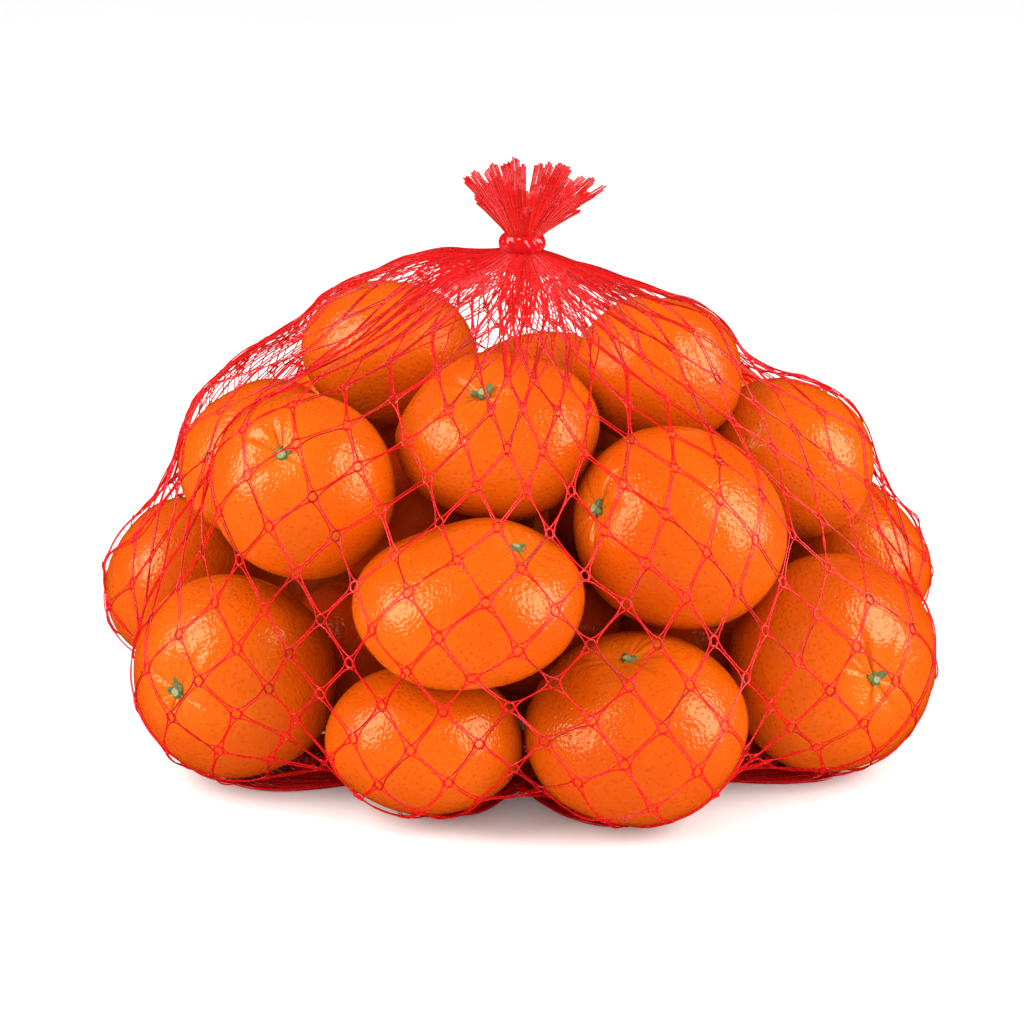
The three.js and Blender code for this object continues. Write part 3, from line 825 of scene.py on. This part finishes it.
class Look:
    """A node material, with a way to add each kind of node that the finishes here are made of."""

    def __init__(self, name):
        self.material = bpy.data.materials.new(name)
        self.material.use_nodes = True
        self.nodes = self.material.node_tree.nodes
        self.links = self.material.node_tree.links
        self.shader = self.nodes["Principled BSDF"]
        self.here = self.nodes.new("ShaderNodeTexCoord").outputs["Object"]

    def feed(self, output, socket):
        self.links.new(output, self.shader.inputs[socket])

    def constant(self, value, socket):
        self.shader.inputs[socket].default_value = value

    def attribute(self, name):
        node = self.nodes.new("ShaderNodeAttribute")
        node.attribute_name = name
        return node.outputs["Fac"]

    def noise(self, scale, detail, distortion=0.0):
        node = self.nodes.new("ShaderNodeTexNoise")
        node.inputs["Scale"].default_value = scale
        node.inputs["Detail"].default_value = detail
        node.inputs["Distortion"].default_value = distortion
        self.links.new(self.here, node.inputs["Vector"])
        return node.outputs["Fac"]

    def cells(self, scale):
        """The distance from the middles of scattered cells."""
        node = self.nodes.new("ShaderNodeTexVoronoi")
        node.inputs["Scale"].default_value = scale
        self.links.new(self.here, node.inputs["Vector"])
        return node.outputs["Distance"]

    def ramp(self, value, low, high):
        node = self.nodes.new("ShaderNodeMapRange")
        node.inputs["From Min"].default_value = low
        node.inputs["From Max"].default_value = high
        self.links.new(value, node.inputs["Value"])
        return node.outputs["Result"]

    def scaled(self, value, factor, offset=0.0):
        node = self.nodes.new("ShaderNodeMath")
        node.operation = "MULTIPLY_ADD"
        node.inputs[1].default_value = factor
        node.inputs[2].default_value = offset
        self.links.new(value, node.inputs[0])
        return node.outputs[0]

    def mixed(self, factor, first, second):
        """A colour between two others, each a socket or three numbers."""
        node = self.nodes.new("ShaderNodeMix")
        node.data_type = "RGBA"
        self.links.new(factor, node.inputs["Factor"])
        for socket, value in ((node.inputs[6], first), (node.inputs[7], second)):
            if isinstance(value, tuple):
                socket.default_value = (*value, 1)
            else:
                self.links.new(value, socket)
        return node.outputs[2]

    def bump(self, height, depth, strength, below=None):
        """A normal that follows a height, of a depth in mm, over the normal below it."""
        node = self.nodes.new("ShaderNodeBump")
        node.inputs["Strength"].default_value = strength
        node.inputs["Distance"].default_value = depth * MM
        self.links.new(height, node.inputs["Height"])
        if below is not None:
            self.links.new(below, node.inputs["Normal"])
        return node.outputs["Normal"]


def peel_material(name, gloss):
    """Waxy peel: pores, fine ripples and broad swells, with blotches and random tone, and painted shade where
    the tone attribute is over one.
    """
    look = Look(name)
    pores = look.ramp(look.cells(640), 0.4, 0.1)
    ripple = look.noise(1050, 0, 0.2)
    swell = look.noise(130, 2, 0.3)
    blotch = look.ramp(look.noise(45, 4, 0.4), 0.4, 0.75)
    grain = look.ramp(look.noise(1700, 2), 0.45, 0.75)
    tone = look.attribute("tone")
    colour = look.mixed(look.scaled(tone, 0.5, 0.5), PEEL_LIGHT, PEEL_DARK)
    colour = look.mixed(look.scaled(blotch, 0.5), colour, PEEL_BLOTCH)
    colour = look.mixed(look.scaled(grain, 0.3), colour, PEEL_DARK)
    colour = look.mixed(look.scaled(pores, 0.45), colour, PEEL_PORE)
    colour = look.mixed(look.scaled(look.attribute("stem"), 0.4), colour, PEEL_STEM)
    # Painted shade: the fruit deep in the heap have their tone pushed over one, towards a darker red
    colour = look.mixed(look.scaled(tone, 1.0, -1.0), colour, PEEL_PAINTED_SHADE)
    look.feed(colour, "Base Color")
    look.feed(look.scaled(ripple, 0.1, 0.13), "Roughness")
    normal = look.bump(swell, 1.0, 0.5)
    normal = look.bump(ripple, 0.19, 0.8, normal)
    normal = look.bump(pores, -0.12, 0.8, normal)
    look.feed(normal, "Normal")
    look.constant(gloss, "Specular IOR Level")
    look.constant(PEEL_SHEEN, "Specular Tint")
    return look.material


def net_material():
    """Drawn plastic filament, from bright red where shade is 0 over a middle red at 1 to a dark one at 2.

    The shade is a random amount for each filament plus painted shade.
    """
    look = Look("net")
    streak = look.noise(900, 3, 0.2)
    stretch = look.ramp(look.noise(60, 2), 0.35, 0.65)
    shade = look.attribute("shade")
    colour = look.mixed(shade, NET_LIGHT, NET_MIDDLE)
    colour = look.mixed(look.scaled(stretch, 0.6), colour, NET_STRETCHED)
    colour = look.mixed(look.scaled(streak, 0.4), colour, NET_STREAK)
    colour = look.mixed(look.scaled(shade, 1.0, -1.0), colour, NET_DARK)
    look.feed(colour, "Base Color")
    look.feed(look.scaled(streak, 0.2, 0.16), "Roughness")
    look.feed(look.bump(streak, 0.06, 0.5), "Normal")
    look.constant(0.6, "Subsurface Weight")
    look.constant((1, 0.1, 0.1), "Subsurface Radius")
    look.constant(1.2 * MM, "Subsurface Scale")
    return look.material


def clip_material():
    """Glossy moulded plastic, slightly cloudy."""
    look = Look("clip")
    cloud = look.noise(220, 2, 0.4)
    look.feed(look.mixed(cloud, CLIP_LIGHT, CLIP_DARK), "Base Color")
    look.feed(look.scaled(cloud, 0.12, 0.05), "Roughness")
    look.feed(look.bump(cloud, 0.4, 0.6), "Normal")
    look.constant(0.3, "Coat Weight")
    return look.material


def calyx_material():
    """Dry matt stalk end: green and olive patches, a pale scar and brown grain."""
    look = Look("calyx")
    grain = look.noise(800, 4, 0.5)
    patch = look.noise(260, 3, 0.2)
    colour = look.mixed(look.ramp(patch, 0.35, 0.65), CALYX_GREEN, CALYX_OLIVE)
    colour = look.mixed(look.attribute("pale"), colour, CALYX_PALE)
    colour = look.mixed(look.scaled(look.ramp(grain, 0.5, 0.75), 0.7), colour, CALYX_BROWN)
    look.feed(colour, "Base Color")
    look.feed(look.scaled(grain, 0.25, 0.55), "Roughness")
    look.feed(look.bump(grain, 0.25, 0.8), "Normal")
    return look.material


def floor_material():
    """Plain pale floor."""
    look = Look("floor")
    look.feed(look.mixed(look.noise(3, 2), FLOOR_LIGHT, FLOOR_DARK), "Base Color")
    look.constant(0.9, "Roughness")
    look.constant(0.1, "Specular IOR Level")
    return look.material


# Pieces


def net_piece(name, paths, normals, radius, sides, depth, closed=False, capped=False, shades=False):
    """A piece of the net: tubes along the paths, each of a slightly different red, darkened by the painted
    shade in depth.

    Thin filaments let so much light through that they hardly shade the fruit, so most pieces cast no shadow.
    """
    points, faces = tubes(paths, normals, radius, sides, closed)
    faces = faces.tolist()
    if capped:
        faces += end_caps(len(paths), paths.shape[1], sides).tolist()
    shade = SHADE_VARIETY * rng.uniform(0, 1, (len(paths), 1)) ** 2 + depth
    shade = np.repeat(np.broadcast_to(shade, paths.shape[:2]), sides)
    piece = mesh_object(name, points, faces, net, shade=shade)
    piece.visible_shadow = shades
    piece.visible_diffuse = shades
    place(piece, "net_bag")


peel = peel_material("peel", PEEL_GLOSS)
# A copy of the peel with painted shade and a weaker sheen, for the fruit deep in the heap
shaded_peel = peel_material("shaded_peel", SHADED_GLOSS)
net = net_material()
moulded = clip_material()
dry = calyx_material()

for number, fruit in enumerate(fruits, start=1):
    grid = FRONT_GRID if number <= FRONT_FRUIT else BACK_GRID
    points, stem, tone = fruit_points(fruit, *grid)
    # The fruit deep in the heap get painted shade
    deep = number > OUTER_FRUIT
    finish = shaded_peel if deep else peel
    tone += PAINTED_SHADE_STEP * deep
    piece = mesh_object(f"mandarin_{number:02d}", points, fruit_faces(*grid), finish, stem=stem, tone=tone)
    place(piece, "net_bag")

calyx_parts = [calyx_points(fruit) for fruit in fruits]
rings = calyx_parts[0][2]
calyx_size = rings * CALYX_COLUMNS
calyx_grid = grid_faces(rings, CALYX_COLUMNS)
calyx_faces = np.concatenate([calyx_grid + k * calyx_size for k in range(len(fruits))])
points = np.concatenate([part[0] for part in calyx_parts])
paleness = np.concatenate([part[1] for part in calyx_parts])
place(mesh_object("calyxes", points, calyx_faces.tolist(), dry, pale=paleness), "net_bag")

knots, path = settled_net()
normal, up, openness = knot_frames(knots, path)
one, two, facing = net_strands(path, normal, openness)
half = len(path) // 2
# Painted shade on the strands, deeper from the open net up to the gathered net round the neck
drawn = smooth_rise(strand_ends()[0] // NET_COLUMNS, *SHADE_ROWS)
depth = SPREAD_SHADE + (GATHER_SHADE - SPREAD_SHADE) * drawn
for name, chosen in (("net_strands_right", slice(0, half)), ("net_strands_left", slice(half, None))):
    pairs = np.concatenate([one[chosen], two[chosen]])
    outward = np.concatenate([facing[chosen]] * 2)
    net_piece(name, pairs, outward, STRAND_RADIUS, STRAND_SIDES, np.tile(depth[chosen], 2)[:, None])
# The gathered filaments take the painted shade of the gathered net
net_piece("net_gather", *gathered(path, normal), GATHER_RADIUS, STRAND_SIDES, GATHER_SHADE)
hem = hem_paths(path)
upright = np.broadcast_to((0.0, 0.0, 1.0), hem.shape)
# The folded net under the fruit takes painted shade
net_piece("net_hem", hem, upright, HEM_RADIUS, STRAND_SIDES, HEM_SHADE, closed=True, shades=True)
knot_paths, knot_normals = net_knots(knots, normal, up, openness)
# The knots take the painted shade of the open net
net_piece("net_knots", knot_paths, knot_normals, KNOT_TUBE, KNOT_SIDES, SPREAD_SHADE, closed=True)
# Painted shade on the tuft, from its foot to its tips
tuft_shade = np.linspace(*TUFT_SHADE, TUFT_STEPS)
net_piece("net_tuft", *tuft_filaments(), TUFT_RADIUS, TUFT_SIDES, tuft_shade, capped=True)

place(mesh_object("clip_band", clip_points(), clip_faces().tolist(), moulded), "clip")

# Floor, light and camera

bpy.ops.mesh.primitive_plane_add(size=FLOOR_SIZE, location=(0, 0, 0))
floor = bpy.context.object
floor.name = "floor"
floor.data.materials.append(floor_material())
floor.visible_glossy = False

world = bpy.data.worlds.new("studio")
bpy.context.scene.world = world
world.use_nodes = True
world.node_tree.nodes["Background"].inputs["Color"].default_value = (1, 1, 1, 1)
world.node_tree.nodes["Background"].inputs["Strength"].default_value = WORLD_STRENGTH
world.cycles_visibility.glossy = False


def softbox(name, spot, target, width, height, power):
    light = bpy.data.lights.new(name, "AREA")
    light.shape = "RECTANGLE"
    light.size = width
    light.size_y = height
    light.energy = power
    lamp = bpy.data.objects.new(name, light)
    lamp.location = spot
    lamp.rotation_euler = (Vector(target) - Vector(spot)).to_track_quat("-Z", "Y").to_euler()
    bpy.context.collection.objects.link(lamp)
    return lamp


softbox("softbox_left", spot=(-0.83, -0.27, 0.6), target=LIGHT_TARGET, width=0.62, height=0.9, power=11)
softbox("softbox_right", spot=(0.88, -0.25, 0.48), target=LIGHT_TARGET, width=0.62, height=0.9, power=11)
fill = softbox("softbox_front", spot=(0, -1.3, 0.5), target=FILL_TARGET, width=1.0, height=0.6, power=5)
fill.visible_glossy = False

camera = bpy.data.objects.new("camera", bpy.data.cameras.new("camera"))
camera.location = CAMERA_SPOT
camera.rotation_euler = (math.radians(90 - CAMERA_DOWN), 0, 0)
camera.data.lens = CAMERA_LENS
camera.data.sensor_width = CAMERA_SENSOR
bpy.context.collection.objects.link(camera)
bpy.context.scene.camera = camera
bpy.context.scene.view_settings.view_transform = "Standard"
